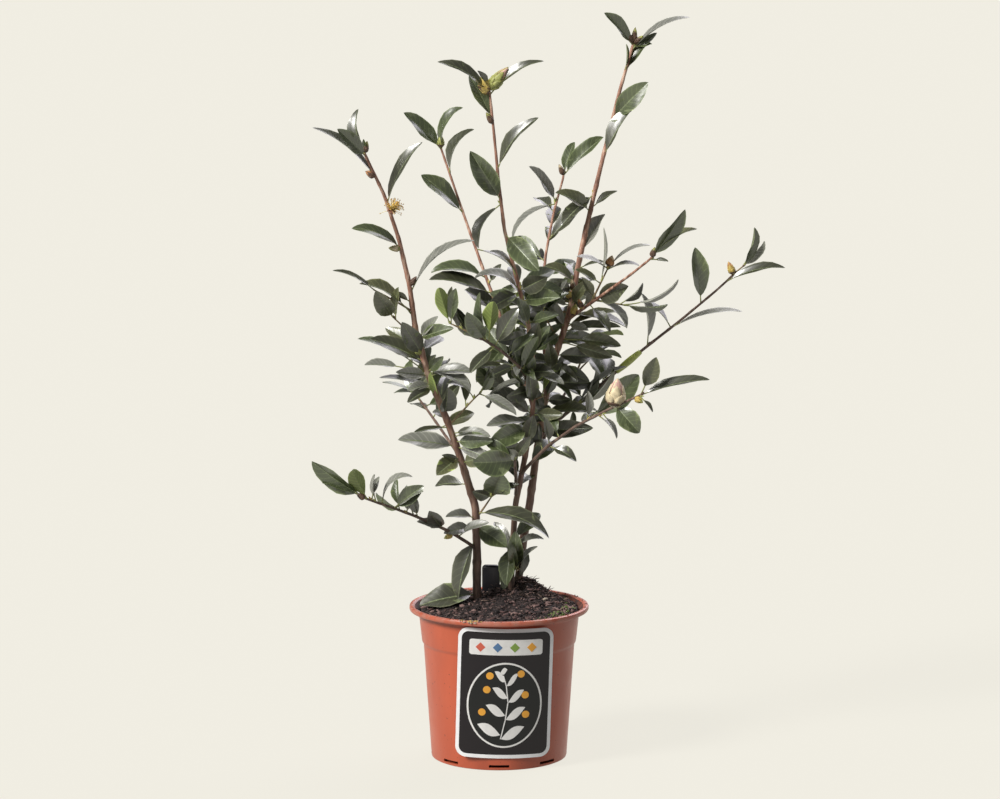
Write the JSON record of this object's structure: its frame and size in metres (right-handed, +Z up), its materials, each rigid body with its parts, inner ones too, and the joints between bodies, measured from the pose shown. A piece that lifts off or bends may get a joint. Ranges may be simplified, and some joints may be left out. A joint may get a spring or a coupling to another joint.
{
  "type": "potted camellia shrub",
  "caption": "Young camellia shrub with upright leafy stems, spreading boughs and flower buds, growing in a round terracotta-coloured nursery pot with a picture label.",
  "frame": {"origin": "centre of the flat underside of the pot, on the surface it stands on", "axes": "+Z up along the plant, -Y towards the front with the label, +X to the right as seen from the front"},
  "size_m": [0.454, 0.2461, 0.7135],
  "materials": {
    "pot_plastic": "moulded terracotta-coloured plastic with a soft gloss and a few specks of soil",
    "label_card": "stiff printed plastic card with a white edge",
    "tag_plastic": "thin black plastic plate",
    "potting_soil": "moist coarse potting soil with bark bits and fibres",
    "bark": "thin grey-brown bark on old wood, pinkish tan on young shoots",
    "foliage": "leathery dark green glossy leaves with paler undersides",
    "bud_scales": "plump buds with overlapping yellow-green and cream scales"
  },
  "bodies": {
    "root": {"pot": "pot_plastic", "label": "label_card", "soil_tag": "tag_plastic", "soil": "potting_soil", "stem_left": "bark", "stem_middle": "bark", "stem_right": "bark", "shoot_inner_left": "bark", "shoot_rear": "bark", "bough_upper_right": "bark", "bough_long_right": "bark", "bough_low_right": "bark", "bough_low_left": "bark", "bough_inner_left": "bark", "bough_rear_left": "bark", "bough_rear_right": "bark", "bough_front": "bark", "leaves_left_tip": "foliage", "leaves_left_upper": "foliage", "leaves_left_middle": "foliage", "leaves_left_cluster": "foliage", "leaves_left_inner": "foliage", "leaves_left_side": "foliage", "leaves_left_heart": "foliage", "leaves_low_left_tip": "foliage", "leaves_low_left": "foliage", "leaves_foot_left": "foliage", "leaves_over_rim": "foliage", "leaves_fork": "foliage", "leaves_drooping": "foliage", "leaves_foot_middle": "foliage", "leaves_inner_left_tip": "foliage", "leaves_inner_left_high": "foliage", "leaves_inner_left_low": "foliage", "leaves_middle_top": "foliage", "leaves_middle_high": "foliage", "leaves_middle_left": "foliage", "leaves_middle_low": "foliage", "leaves_rear_tip": "foliage", "leaves_rear_left_side": "foliage", "leaves_rear_high": "foliage", "leaves_right_top": "foliage", "leaves_right_high": "foliage", "leaves_right_middle": "foliage", "leaves_bud_shoot": "foliage", "leaves_upper_right_tip": "foliage", "leaves_right_arch": "foliage", "leaves_long_right_high": "foliage", "leaves_long_right_tip": "foliage", "leaves_low_right_tip": "foliage", "leaves_low_right_bud": "foliage", "leaves_inner_left": "foliage", "leaves_heart_high": "foliage", "leaves_heart_right": "foliage", "leaves_heart": "foliage", "leaves_heart_low": "foliage", "leaves_front": "foliage", "leaves_rear_left": "foliage", "leaves_rear_right": "foliage"}
  },
  "joints": []
}
